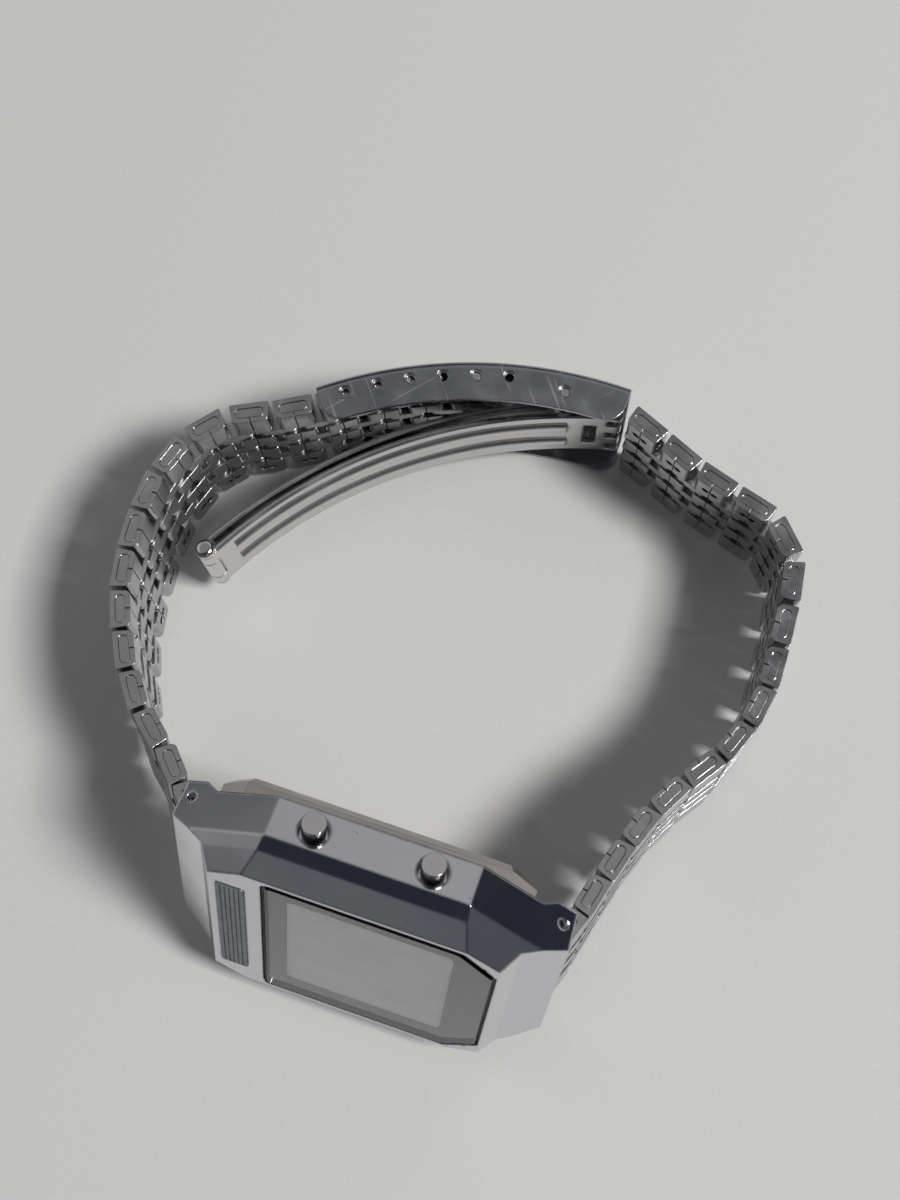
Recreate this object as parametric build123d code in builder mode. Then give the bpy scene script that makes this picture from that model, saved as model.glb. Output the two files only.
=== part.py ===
from build123d import *
import os
from math import asin, atan2, cos, degrees, hypot, pi, radians, sin

# A steel digital watch that stands on its nine o'clock side, with its bracelet closed in a loop behind it.
# +X runs from twelve o'clock to six o'clock, +Y from the dial to the clasp, +Z up towards three o'clock.
# The case leans back, and the bracelet sinks away from the lugs until the clasp stands on the floor too.
# In the case, u is the length towards six o'clock, w the width towards three o'clock, and depth the
# distance in front of the flat back of the case middle.

# Case middle
case_lean = 20.0
case_half_width = 17.0
side_crease = 9.5
lug_half_length = 18.8
lug_half_width = 11.3
side_wall_depth = 3.9
step_depth = 5.05
step_half_width = 16.0
step_crease = 9.7
step_tip = 18.0
step_tip_half_width = 11.0
rim_half_width = 13.95
rim_crease = 10.5
rim_tip = 15.5
rim_tip_half_width = 10.9
dial_depth = 7.0
lug_front_depth = 2.7
lug_tip_undercut = 0.25
lug_tip_back = 0.85
lug_back_run = 1.9
hood_half_length = 15.0
hood_depth = 4.95
hood_front_half_length = 13.7
lug_root_half_length = 15.4
lug_gap_half_width = 8.25
lug_gap_half_length = 16.0
lug_gap_depth = 2.1
lug_bar_half_pitch = 17.6
lug_bar_depth = 0.8
overrun = 1.0

# Crystal, mask and display, which sit nearer to six o'clock than the lugs do
dial_shift = 2.45
crystal_half_length = 10.8
crystal_half_width = 13.05
crystal_thickness = 1.2
crystal_proud = 0.08
crystal_corner_cut = 3.3
crystal_corner_round = 0.7
crystal_edge_cut = 0.15
gasket_wall = 0.3
gasket_height = 0.95
fit_gap = 0.03
mask_thickness = 0.12
window_shift = -0.85
window_half_length = 7.9
window_half_width = 10.4
window_round = 0.8
display_margin = 0.35
display_thickness = 1.3
cavity_half_length = 10.0
cavity_half_width = 11.5

# Name plate on the twelve o'clock hood, left bare
plate_place = -11.6
plate_half_length = 1.35
plate_half_width = 10.4
plate_thickness = 0.35
plate_proud = 0.08
plate_groove_count = 5
plate_groove_width = 0.14
plate_groove_depth = 0.1
plate_round = 0.25

# Snap-on case back
back_shift = -0.4
back_half_length = 14.9
back_half_width = 15.0
back_corner = 2.5
back_thickness = 2.0
back_web = 0.7
back_rim = 2.6
back_edge_cut = 0.8
lip_wall = 0.5
lip_height = 0.9
lip_gap = 0.06
seal_gap = 0.3
seal_wall = 0.45
seal_depth = 0.5

# Module
module_half_length = 9.3
module_half_width = 10.3
module_wall = 0.6
module_back_depth = 0.2
module_floor = 1.15
module_height = 4.15
board_thickness = 0.8
board_margin = 0.1
strip_width = 1.3
strip_margin = 0.6
cell_radius = 4.75
cell_height = 2.1
cell_gap = 0.2
cell_place = -3.6
strap_thickness = 0.15
strap_half_width = 1.5
quartz_radius = 0.9
quartz_length = 6.0
quartz_place = 6.4
inside_gap = 0.05

# Push buttons in the three o'clock side wall
button_half_pitch = 5.5
button_depth = 2.0
button_radius = 1.1
button_well_gap = 0.35
button_well = 1.75
button_head = 1.15
button_rise = 1.6
button_dome = 1.05
button_travel = 0.5
stem_radius = 0.55
stem_gap = 0.05
clip_radius = 1.05
clip_thickness = 0.25
clip_gap = 0.1
clip_end = 0.12
return_spring_inner = 0.75
return_spring_outer = 1.0
stem_seal_radius = 0.95
stem_seal_height = 0.6
stem_seal_place = 1.4

# Lug bars
lug_bar_radius = 0.65
lug_bar_tip_radius = 0.4
lug_bar_end_gap = 0.12
lug_hole_gap = 0.04
lug_tip_recess = 0.6

# Bracelet link: four folded strips on two pins, with three ties between the strips to the next link
band_half_width = 8.0
link_pitch = 4.39
link_gap = 0.4
link_thickness = 2.0
pin_span = 1.9
pin_radius = 0.32
strip_slot_radius = 0.5
strip_taper = 0.2
strip_inner_round = 0.55
strip_outer_round = 0.18
seam_width = 0.1
wide_strip = 3.6
narrow_strip = 2.0
tie_row = 1.6
tie_side_gap = 0.15
tie_height = 1.7
tie_overhang = 0.85
tie_round = 0.8
tie_fit = 0.06
tie_eye_gap = 0.25
pin_head_thickness = 0.7
pin_head_recess = 0.06
pin_head_gap = 0.035
stop_hole_radius = 0.42
stop_hole_half_pitch = 0.5
end_link_reach = 2.4
end_link_eye = 1.15
bar_eye_gap = 0.08

# Clasp cover, a curved channel over the end of the twelve o'clock band
cover_radius = 46.0
cover_length = 32.0
cover_plate = 0.5
cover_flange_height = 4.1
cover_flange = 0.5
cover_half_width = 8.75
cover_corner_round = 1.9
cover_edge_round = 0.8
cover_pin_recess = 0.28
cover_link_gap = 0.15
adjust_bar_radius = 0.42
adjust_hole_gap = 0.03
adjust_hole_start = 2.7
adjust_hole_pitch = 3.4
adjust_hole_count = 6
adjust_hole_used = 5
hole_rim_radius = 0.66
hole_rim_depth = 0.14
cover_hinge_place = 25.6
cover_hinge_drop = 2.3

# Folding blades
blade_half_width = 5.2
outer_chord = 38.7
outer_rise = 3.3
outer_open = 9.4
outer_thickness = 0.55
inner_chord = 43.2
inner_rise = 4.8
inner_turn = 4.3
inner_thickness = 0.6
hinge_pin_radius = 0.45
hinge_eye_radius = 0.85
hinge_eye_lift = 0.28
hinge_eye_half_length = 8.1
running_gap = 0.05
t_bar_half_length = 6.1
t_bar_radius = 0.98
t_bar_pin_radius = 0.5
t_bar_end_round = 0.5
t_bar_plate_lift = 0.68
knuckle_half_width = 2.6
knuckle_gap = 0.1
rib_height = 0.35
rib_width = 1.6
rib_round = 0.3
rib_place = 2.3
rib_end_margin = 3.0
slot_length = 1.3
slot_half_width = 2.8
slot_place = 2.0
end_bar_half_length = 5.4
end_bar_radius = 0.36
end_ear_radius = 0.62
open_pivot_gap = 0.95

# How the closed bracelet lies: the lean where it is level, the way each end link heads, and how far each
# next link turns inward from the one before it, counted from the lugs
level_lean = 2.0
band_twist = 4.0
covered_links = 4
twelve_heading = 129.3
twelve_turns = [-3.0, -6.0, 12.5, 8.5, 5.0, 11.5, 6.5, 7.5, 16.0, 22.0, 23.5, -3.5]
entry_turn = -6.0
six_heading = 71.0
six_turns = [5.5, -1.5, -4.5, -8.5, -6.0, 12.5, 11.5, 12.0, 1.5, 5.5, 34.5, 31.0, -1.5, -6.5, 0.5]
six_last_turn = 14.5

lean = radians(case_lean)
far_lean = radians(level_lean)
tie_span = link_pitch - pin_span
link_length = link_pitch - link_gap
case_height = case_half_width * cos(lean)
nodes = {}


def keep(name, piece):
    """Labels a finished piece and holds it until the model's origin is known."""
    piece.part.label = name
    nodes[name] = piece.part


# Planes and outlines of the case
front = Vector(0, -cos(lean), sin(lean))
three = Vector(0, sin(lean), cos(lean))
case_origin = Vector(0, 0, case_height)


def dial_plane(depth, u=0):
    """Looks out of the dial at a depth, with x along u and y along w."""
    return Plane(case_origin + front * depth + Vector(u, 0, 0), x_dir=(1, 0, 0), z_dir=front)


def section_plane(w):
    """Looks to nine o'clock at a width, with x along u and y along depth."""
    return Plane(case_origin + three * w, x_dir=(1, 0, 0), z_dir=three * -1)


def button_plane(w, u):
    """Looks out of the three o'clock wall at a width, over one button."""
    origin = case_origin + three * w + front * button_depth + Vector(u, 0, 0)
    return Plane(origin, x_dir=(1, 0, 0), z_dir=three)


def eight_sided(crease, half_width, tip, tip_half_width):
    """The case's outline from the front: long flat sides, and flanks down to the lugs."""
    with BuildSketch() as outline:
        with BuildLine():
            Polyline(
                (crease, half_width),
                (tip, tip_half_width),
                (tip, -tip_half_width),
                (crease, -half_width),
                (-crease, -half_width),
                (-tip, -tip_half_width),
                (-tip, tip_half_width),
                (-crease, half_width),
                close=True,
            )
        make_face()
    return outline.sketch


def side_profile():
    """The case's outline from the side: lug tips, sloping hoods and flat front."""
    right = [
        (lug_root_half_length, 0),
        (lug_half_length - lug_tip_undercut - lug_back_run, -lug_tip_back),
        (lug_half_length - lug_tip_undercut, -lug_tip_back),
        (lug_half_length, lug_front_depth),
        (hood_half_length, hood_depth),
        (hood_front_half_length, dial_depth),
    ]
    left = [(-x, y) for x, y in reversed(right)]
    with BuildSketch() as profile:
        with BuildLine():
            Polyline(*right, *left, close=True)
        make_face()
    return profile.sketch


def crystal_outline(grow=0):
    """The crystal from the front: two cut corners at six o'clock, two small round ones at twelve."""
    long, wide = crystal_half_length + grow, crystal_half_width + grow
    with BuildSketch() as outline:
        Rectangle(2 * long, 2 * wide)
        chamfer(vertices().group_by(Axis.X)[-1], crystal_corner_cut)
        fillet(vertices().group_by(Axis.X)[0], crystal_corner_round)
    return outline.sketch


def ring_outline(half_length, half_width, wall):
    """A rectangular ring, from its outer size and its wall."""
    with BuildSketch() as outline:
        Rectangle(2 * half_length, 2 * half_width)
        Rectangle(2 * (half_length - wall), 2 * (half_width - wall), mode=Mode.SUBTRACT)
    return outline.sketch


# Depths of what is stacked under the crystal
crystal_back_depth = dial_depth + crystal_proud - crystal_thickness
seat_depth = crystal_back_depth - fit_gap - mask_thickness
display_front_depth = seat_depth - inside_gap
display_back_depth = display_front_depth - display_thickness
module_front_depth = module_back_depth + module_height
board_back_depth = module_back_depth + module_floor + inside_gap
board_front_depth = board_back_depth + board_thickness
display_half_length = window_half_length + display_margin
display_half_width = min(window_half_width + display_margin, cavity_half_width - inside_gap)
seal_half_length = cavity_half_length + seal_gap + seal_wall
seal_half_width = cavity_half_width + seal_gap + seal_wall
well_floor = case_half_width - button_well
clip_front = cavity_half_width - clip_gap
stem_end = clip_front - clip_thickness - clip_end
seal_back = well_floor - stem_seal_place - stem_seal_height

with BuildPart() as case_middle:
    with BuildSketch(dial_plane(0)):
        add(eight_sided(side_crease, case_half_width, lug_half_length, lug_half_width))
    extrude(amount=side_wall_depth)
    with BuildSketch(dial_plane(0)):
        add(eight_sided(side_crease, case_half_width, lug_half_length, lug_half_width))
    extrude(amount=-lug_tip_back)
    with BuildSketch(dial_plane(side_wall_depth)):
        add(eight_sided(side_crease, case_half_width, lug_half_length, lug_half_width))
    with BuildSketch(dial_plane(step_depth)):
        add(eight_sided(step_crease, step_half_width, step_tip, step_tip_half_width))
    loft(ruled=True)
    with BuildSketch(dial_plane(step_depth)):
        add(eight_sided(step_crease, step_half_width, step_tip, step_tip_half_width))
    with BuildSketch(dial_plane(dial_depth)):
        add(eight_sided(rim_crease, rim_half_width, rim_tip, rim_tip_half_width))
    loft(ruled=True)
    with BuildSketch(section_plane(case_half_width + overrun)):
        add(side_profile())
    extrude(amount=2 * (case_half_width + overrun), mode=Mode.INTERSECT)
    with BuildSketch(section_plane(lug_half_width)):
        add(side_profile())
    extrude(amount=2 * lug_half_width)
    for side in (-1, 1):
        with BuildSketch(section_plane(lug_gap_half_width)):
            with BuildLine():
                Polyline(
                    (side * lug_root_half_length, -lug_tip_back - overrun),
                    (side * lug_root_half_length, 0),
                    (side * lug_gap_half_length, 0),
                    (side * lug_gap_half_length, lug_gap_depth),
                    (side * (lug_half_length + overrun), lug_gap_depth),
                    (side * (lug_half_length + overrun), -lug_tip_back - overrun),
                    close=True,
                )
            make_face()
        extrude(amount=2 * lug_gap_half_width, mode=Mode.SUBTRACT)
    with BuildSketch(section_plane(lug_half_width + overrun)):
        with Locations((-lug_bar_half_pitch, lug_bar_depth), (lug_bar_half_pitch, lug_bar_depth)):
            Circle(lug_bar_tip_radius + lug_hole_gap)
    extrude(amount=2 * (lug_half_width + overrun), mode=Mode.SUBTRACT)
    with BuildSketch(dial_plane(-overrun, dial_shift)):
        Rectangle(2 * cavity_half_length, 2 * cavity_half_width)
    extrude(amount=dial_depth + 2 * overrun, mode=Mode.SUBTRACT)
    with BuildSketch(dial_plane(seat_depth, dial_shift)):
        add(crystal_outline(gasket_wall + fit_gap))
    extrude(amount=dial_depth, mode=Mode.SUBTRACT)
    with BuildSketch(dial_plane(dial_depth - plate_thickness + plate_proud - fit_gap, plate_place)):
        RectangleRounded(2 * (plate_half_length + fit_gap), 2 * (plate_half_width + fit_gap), plate_round)
    extrude(amount=dial_depth, mode=Mode.SUBTRACT)
    for u in (-button_half_pitch, button_half_pitch):
        with BuildSketch(button_plane(well_floor, u)):
            Circle(button_radius + button_well_gap)
        extrude(amount=button_well + overrun, mode=Mode.SUBTRACT)
        with BuildSketch(button_plane(cavity_half_width - overrun, u)):
            Circle(stem_radius + stem_gap)
        extrude(amount=well_floor - cavity_half_width + 2 * overrun, mode=Mode.SUBTRACT)
        with BuildSketch(button_plane(seal_back, u)):
            Circle(stem_seal_radius + fit_gap)
        extrude(amount=stem_seal_height, mode=Mode.SUBTRACT)
keep("case_middle", case_middle)

with BuildPart() as case_back:
    with BuildSketch(dial_plane(-back_thickness, back_shift)):
        Rectangle(2 * back_half_length, 2 * back_half_width)
        chamfer(vertices(), back_corner)
    extrude(amount=back_thickness)
    chamfer(case_back.faces().sort_by(Axis((0, 0, 0), tuple(front)))[0].edges(), back_edge_cut)
    with BuildSketch(dial_plane(0, dial_shift)):
        add(ring_outline(cavity_half_length - lip_gap, cavity_half_width - lip_gap, lip_wall))
    extrude(amount=lip_height)
    with BuildSketch(dial_plane(back_web - back_thickness, dial_shift)):
        Rectangle(2 * (cavity_half_length - back_rim), 2 * (cavity_half_width - back_rim))
    extrude(amount=back_thickness, mode=Mode.SUBTRACT)
    with BuildSketch(dial_plane(-seal_depth, dial_shift)):
        add(ring_outline(seal_half_length, seal_half_width, seal_wall))
    extrude(amount=seal_depth + overrun, mode=Mode.SUBTRACT)
keep("case_back", case_back)

with BuildPart() as back_gasket:
    with BuildSketch(dial_plane(-seal_depth, dial_shift)):
        add(ring_outline(seal_half_length, seal_half_width, seal_wall))
    extrude(amount=seal_depth)
keep("back_gasket", back_gasket)

with BuildPart() as crystal:
    with BuildSketch(dial_plane(crystal_back_depth, dial_shift)):
        add(crystal_outline())
    extrude(amount=crystal_thickness)
    chamfer(crystal.faces().sort_by(Axis((0, 0, 0), tuple(front)))[-1].edges(), crystal_edge_cut)
keep("crystal", crystal)

with BuildPart() as crystal_gasket:
    with BuildSketch(dial_plane(seat_depth, dial_shift)):
        add(crystal_outline(gasket_wall))
        add(crystal_outline(fit_gap), mode=Mode.SUBTRACT)
    extrude(amount=gasket_height)
keep("crystal_gasket", crystal_gasket)

with BuildPart() as display_mask:
    with BuildSketch(dial_plane(seat_depth, dial_shift)):
        add(crystal_outline())
        with Locations((window_shift, 0)):
            RectangleRounded(2 * window_half_length, 2 * window_half_width, window_round, mode=Mode.SUBTRACT)
    extrude(amount=mask_thickness)
keep("display_mask", display_mask)

with BuildPart() as name_plate:
    with BuildSketch(dial_plane(dial_depth - plate_thickness + plate_proud, plate_place)):
        RectangleRounded(2 * plate_half_length, 2 * plate_half_width, plate_round)
    extrude(amount=plate_thickness)
    groove_pitch = 2 * plate_half_length / (plate_groove_count + 1)
    with BuildSketch(dial_plane(dial_depth + plate_proud - plate_groove_depth, plate_place)):
        with GridLocations(groove_pitch, 0, plate_groove_count, 1):
            Rectangle(plate_groove_width, 2 * (plate_half_width - plate_round))
    extrude(amount=plate_thickness, mode=Mode.SUBTRACT)
keep("name_plate", name_plate)

with BuildPart() as display_panel:
    with BuildSketch(dial_plane(display_back_depth, dial_shift + window_shift)):
        Rectangle(2 * display_half_length, 2 * display_half_width)
    extrude(amount=display_thickness)
keep("display_panel", display_panel)

with BuildPart() as contact_strips:
    strip_place = display_half_length - strip_width / 2 - strip_margin - module_wall
    with BuildSketch(dial_plane(board_front_depth, dial_shift + window_shift)):
        with Locations((-strip_place, 0), (strip_place, 0)):
            Rectangle(strip_width, 2 * (module_half_width - module_wall - strip_margin))
    extrude(amount=display_back_depth - board_front_depth)
keep("contact_strips", contact_strips)

with BuildPart() as circuit_board:
    board_half_length = module_half_length - module_wall - board_margin
    with BuildSketch(dial_plane(board_back_depth, dial_shift)):
        Rectangle(2 * board_half_length, 2 * (module_half_width - module_wall - board_margin))
    extrude(amount=board_thickness)
keep("circuit_board", circuit_board)

with BuildPart() as module_frame:
    with BuildSketch(dial_plane(module_back_depth, dial_shift)):
        Rectangle(2 * module_half_length, 2 * module_half_width)
    extrude(amount=module_height)
    with BuildSketch(dial_plane(module_back_depth + module_floor, dial_shift)):
        Rectangle(2 * (module_half_length - module_wall), 2 * (module_half_width - module_wall))
    extrude(amount=module_height, mode=Mode.SUBTRACT)
    with BuildSketch(dial_plane(module_back_depth - overrun, dial_shift)):
        with Locations((0, cell_place)):
            Circle(cell_radius + cell_gap)
        with Locations((0, quartz_place)):
            Rectangle(quartz_length + 2 * cell_gap, 2 * (quartz_radius + cell_gap))
    extrude(amount=module_floor + 2 * overrun, mode=Mode.SUBTRACT)
keep("module_frame", module_frame)

cell_front_depth = board_back_depth - cell_gap
with BuildPart() as button_cell:
    with BuildSketch(dial_plane(cell_front_depth - cell_height, dial_shift)):
        with Locations((0, cell_place)):
            Circle(cell_radius)
    extrude(amount=cell_height)
keep("button_cell", button_cell)

with BuildPart() as cell_strap:
    strap_depth = cell_front_depth - cell_height - inside_gap - strap_thickness
    with BuildSketch(dial_plane(strap_depth, dial_shift)):
        with Locations((0, cell_place)):
            Rectangle(2 * cell_radius, 2 * strap_half_width)
    extrude(amount=strap_thickness)
keep("cell_strap", cell_strap)

with BuildPart() as quartz_can:
    quartz_origin = dial_plane(board_back_depth - quartz_radius - inside_gap, dial_shift).from_local_coords(
        Vector(-quartz_length / 2, quartz_place, 0)
    )
    with BuildSketch(Plane(quartz_origin, x_dir=three, z_dir=(1, 0, 0))):
        Circle(quartz_radius)
    extrude(amount=quartz_length)
keep("quartz_can", quartz_can)

with BuildPart() as lug_bars:
    with BuildSketch(section_plane(lug_gap_half_width - lug_bar_end_gap)):
        with Locations((-lug_bar_half_pitch, lug_bar_depth), (lug_bar_half_pitch, lug_bar_depth)):
            Circle(lug_bar_radius)
    extrude(amount=2 * (lug_gap_half_width - lug_bar_end_gap))
    with BuildSketch(section_plane(lug_half_width - lug_tip_recess)):
        with Locations((-lug_bar_half_pitch, lug_bar_depth), (lug_bar_half_pitch, lug_bar_depth)):
            Circle(lug_bar_tip_radius)
    extrude(amount=2 * (lug_half_width - lug_tip_recess))
keep("lug_spring_bars", lug_bars)


# Each button is a tall domed head on a stem, held by a clip inside the case
def build_button(u):
    head = button_plane(case_half_width - button_head, u)
    with BuildPart() as button:
        with BuildSketch(head):
            Circle(button_radius)
        extrude(amount=button_head + button_rise)
        dome_radius = (button_radius**2 + button_dome**2) / (2 * button_dome)
        dome_base = button_plane(case_half_width + button_rise, u).origin
        side = Plane(dome_base, x_dir=(1, 0, 0), z_dir=front * -1)
        with BuildSketch(side):
            with BuildLine():
                Line((0, 0), (button_radius, 0))
                RadiusArc((button_radius, 0), (0, button_dome), -dome_radius)
                Line((0, button_dome), (0, 0))
            make_face()
        revolve(axis=Axis(side.origin, three))
        with BuildSketch(button_plane(stem_end, u)):
            Circle(stem_radius)
        extrude(amount=case_half_width - button_head - stem_end)
        with BuildSketch(button_plane(clip_front - clip_thickness, u)):
            Circle(clip_radius)
        extrude(amount=clip_thickness)
    return button


def build_return_spring(u):
    with BuildPart() as spring:
        with BuildSketch(button_plane(well_floor, u)):
            Circle(return_spring_outer)
            Circle(return_spring_inner, mode=Mode.SUBTRACT)
        extrude(amount=button_well - button_head)
    return spring


keep("button_twelve_side", build_button(-button_half_pitch))
keep("button_six_side", build_button(button_half_pitch))
keep("return_spring_twelve_side", build_return_spring(-button_half_pitch))
keep("return_spring_six_side", build_return_spring(button_half_pitch))

with BuildPart() as stem_seals:
    for u in (-button_half_pitch, button_half_pitch):
        with BuildSketch(button_plane(seal_back, u)):
            Circle(stem_seal_radius)
            Circle(stem_radius + stem_gap, mode=Mode.SUBTRACT)
        extrude(amount=stem_seal_height)
keep("stem_seals", stem_seals)


# The bracelet is first laid out on a flat sheet, with x along the case and s away from the lugs
def polar(point, angle, length):
    return point[0] + length * cos(radians(angle)), point[1] + length * sin(radians(angle))


def between(start, end):
    """Length and heading from one point to another."""
    step = (end[0] - start[0], end[1] - start[1])
    return hypot(*step), degrees(atan2(step[1], step[0]))


def walk(start, heading, turns, hand):
    """Walks a band from its lug: [(first pin, second pin, heading)], and where its last ties end."""
    band = []
    point = start
    reach = end_link_reach
    for turn in turns:
        second = polar(point, heading, reach)
        band.append((point, second, heading))
        point = polar(second, heading + hand * turn / 2, tie_span)
        heading += hand * turn
        reach = pin_span
    return band, point


pin_ring = cover_radius - cover_plate - cover_link_gap - link_thickness / 2
pin_angle = degrees(asin(pin_span / 2 / pin_ring))
tie_angle = degrees(asin(tie_span / 2 / pin_ring))
adjust_place = adjust_hole_start + (adjust_hole_used - 1) * adjust_hole_pitch


def lay_out(twelve_extra, six_extra):
    """Both bands and the clasp's points, with a little more turn shared over the links of each band."""
    covered = [2 * (pin_angle + tie_angle)] * (covered_links - 1)
    first_turns = [turn + twelve_extra for turn in twelve_turns] + [entry_turn] + covered
    twelve, _ = walk((-lug_bar_half_pitch, 0), twelve_heading, first_turns + [0], -1)
    six_all = [turn + six_extra for turn in six_turns] + [six_last_turn]
    six, six_end = walk((lug_bar_half_pitch, 0), six_heading, six_all, 1)
    bar = twelve[-1][1]
    outward = twelve[-1][2] - pin_angle + 90
    at = {"bar": bar, "centre": polar(bar, outward + 180, pin_ring)}
    at["cover_start"] = outward + degrees(adjust_place / cover_radius)
    hinge_angle = at["cover_start"] - degrees(cover_hinge_place / cover_radius)
    hinge_radius = cover_radius - cover_hinge_drop
    at["hinge"] = polar(at["centre"], hinge_angle, hinge_radius)
    closed = hinge_angle + 90 + degrees(asin(outer_chord / 2 / hinge_radius))
    at["t_bar"] = polar(at["hinge"], closed + outer_open, outer_chord)
    at["end_bar"] = polar(at["t_bar"], closed + outer_open + 180 - inner_turn, inner_chord)
    return twelve, six, six_end, at


def miss(extra):
    _, _, end, at = lay_out(*extra)
    return end[0] - at["end_bar"][0], end[1] - at["end_bar"][1]


# Newton steps find the two extra turns that bring the six o'clock band's end to the inner blade
extra = [0.0, 0.0]
probe_share = 0.001
for step in range(len(twelve_turns)):
    gap = miss(extra)
    by_twelve = [(m - g) / probe_share for m, g in zip(miss([extra[0] + probe_share, extra[1]]), gap)]
    by_six = [(m - g) / probe_share for m, g in zip(miss([extra[0], extra[1] + probe_share]), gap)]
    size = by_twelve[0] * by_six[1] - by_twelve[1] * by_six[0]
    extra[0] -= (gap[0] * by_six[1] - gap[1] * by_six[0]) / size
    extra[1] -= (by_twelve[0] * gap[1] - by_twelve[1] * gap[0]) / size
twelve_band, six_band, six_end, clasp = lay_out(*extra)
print(f"extra turns {extra[0]:.2f} and {extra[1]:.2f} degrees")
print(f"loop left open by {hypot(*miss(extra)):.4f} mm")

# The sheet bends down as it goes: its lean falls evenly from the case's lean to the clasp's
lug_bar_height = case_height + lug_bar_depth * sin(lean)
clasp_reach = clasp["centre"][1] + cover_radius
clasp_height = cover_half_width * cos(far_lean)
fall_share = (cos(far_lean) - cos(lean)) / (lean - far_lean)
bend_run = (lug_bar_height - clasp_height - clasp_reach * sin(far_lean)) / (fall_share - sin(far_lean))
bend_rate = (lean - far_lean) / bend_run


def lean_at(s):
    return lean - bend_rate * min(max(s, 0), bend_run)


def sheet_point(point):
    """The place in space of a point of the flat sheet."""
    x, s = point
    bent = min(max(s, 0), bend_run)
    straight = s - bent
    y = (sin(lean) - sin(lean_at(s))) / bend_rate + straight * cos(lean_at(s))
    drop = (cos(lean_at(s)) - cos(lean)) / bend_rate + straight * sin(lean_at(s))
    return Vector(x, y - lug_bar_depth * cos(lean), lug_bar_height - drop)


def band_plane(point, heading, hand, twist):
    """A link's plane over a point of the sheet: x along the band, y out of the loop, z along the pins."""
    tilt = lean_at(point[1])
    away = sin(radians(heading))
    along = Vector(cos(radians(heading)), away * cos(tilt), -away * sin(tilt))
    normal = Vector(0, sin(tilt), cos(tilt)) * -hand
    outward = normal.cross(along)
    pins = normal * cos(radians(twist)) - outward * (hand * sin(radians(twist)))
    return Plane(sheet_point(point), x_dir=along, z_dir=pins)


strip_rows = [
    (-band_half_width, wide_strip),
    (-tie_row / 2 - narrow_strip, narrow_strip),
    (tie_row / 2, narrow_strip),
    (band_half_width - wide_strip, wide_strip),
]
tie_rows = [-tie_row - narrow_strip, 0, tie_row + narrow_strip]
tie_width = tie_row - 2 * tie_side_gap


# One link's strips are folded from sheet, flat and sharp outside, rounded inside, with an open seam.
# Two round stop holes lie on the seam of one wide strip.
with BuildPart() as link_strips:
    for low, width in strip_rows:
        with BuildSketch(Plane.XY.offset(low)):
            with BuildLine():
                Polyline(
                    (-link_length / 2, link_thickness / 2),
                    (link_length / 2, link_thickness / 2),
                    (link_length / 2 - strip_taper, -link_thickness / 2),
                    (strip_taper - link_length / 2, -link_thickness / 2),
                    close=True,
                )
            make_face()
            fillet(vertices().group_by(Axis.Y)[0], strip_inner_round)
            fillet(vertices().group_by(Axis.Y)[-1], strip_outer_round)
            SlotCenterToCenter(pin_span, 2 * strip_slot_radius, mode=Mode.SUBTRACT)
            with Locations((0, -link_thickness / 2)):
                Rectangle(seam_width, link_thickness, mode=Mode.SUBTRACT)
        extrude(amount=width)
    with BuildSketch(Plane((0, -link_thickness / 2 - overrun, 0), x_dir=(1, 0, 0), z_dir=(0, 1, 0))):
        row = band_half_width - wide_strip / 2
        with Locations((-stop_hole_half_pitch, row), (stop_hole_half_pitch, row)):
            Circle(stop_hole_radius)
    extrude(amount=overrun + link_thickness / 2, mode=Mode.SUBTRACT)

# The two pins of a link are one staple, whose flat heads close the ends of the strips
head_low = band_half_width - pin_head_recess - pin_head_thickness
with BuildPart() as link_staple:
    with BuildSketch(Plane.XY.offset(-head_low)):
        with Locations((-pin_span / 2, 0), (pin_span / 2, 0)):
            Circle(pin_radius)
    extrude(amount=2 * head_low)
    for low in (-head_low - pin_head_thickness, head_low):
        with BuildSketch(Plane.XY.offset(low)):
            SlotCenterToCenter(pin_span, 2 * (strip_slot_radius - pin_head_gap))
        extrude(amount=pin_head_thickness)

# The last link in the clasp has a single pin, because the adjusting bar is its other one
with BuildPart() as last_pin:
    with BuildSketch(Plane.XY.offset(-head_low - pin_head_thickness)):
        with Locations((-pin_span / 2, 0)):
            Circle(pin_radius)
    extrude(amount=2 * (head_low + pin_head_thickness))
    for low in (-head_low - pin_head_thickness, head_low):
        with BuildSketch(Plane.XY.offset(low)):
            with Locations((-pin_span / 2, 0)):
                Circle(strip_slot_radius - pin_head_gap)
        extrude(amount=pin_head_thickness)

# An end link wraps the lug bar, and has pockets for its three ties
with BuildPart() as end_link_body:
    end_length = end_link_reach + (link_length - pin_span) / 2
    with BuildSketch(Plane.XY.offset(-band_half_width)):
        Circle(end_link_eye)
        with Locations(((end_length + lug_bar_radius) / 2, 0)):
            Rectangle(end_length - lug_bar_radius, link_thickness)
        fillet(vertices().group_by(Axis.X)[-1].sort_by(Axis.Y)[0], strip_inner_round)
        Circle(lug_bar_radius + bar_eye_gap, mode=Mode.SUBTRACT)
        with Locations((end_link_reach, 0)):
            Circle(pin_radius + running_gap, mode=Mode.SUBTRACT)
    extrude(amount=2 * band_half_width)
    for row in tie_rows:
        with BuildSketch(Plane.XY.offset(row - tie_row / 2)):
            with Locations((end_link_reach + end_length / 2 - tie_overhang - tie_side_gap, 0)):
                Rectangle(end_length, 2 * link_thickness)
        extrude(amount=tie_row, mode=Mode.SUBTRACT)

with BuildPart() as end_link_pin:
    with BuildSketch(Plane.XY.offset(pin_head_recess - band_half_width)):
        with Locations((end_link_reach, 0)):
            Circle(pin_radius)
    extrude(amount=2 * (band_half_width - pin_head_recess))


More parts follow.
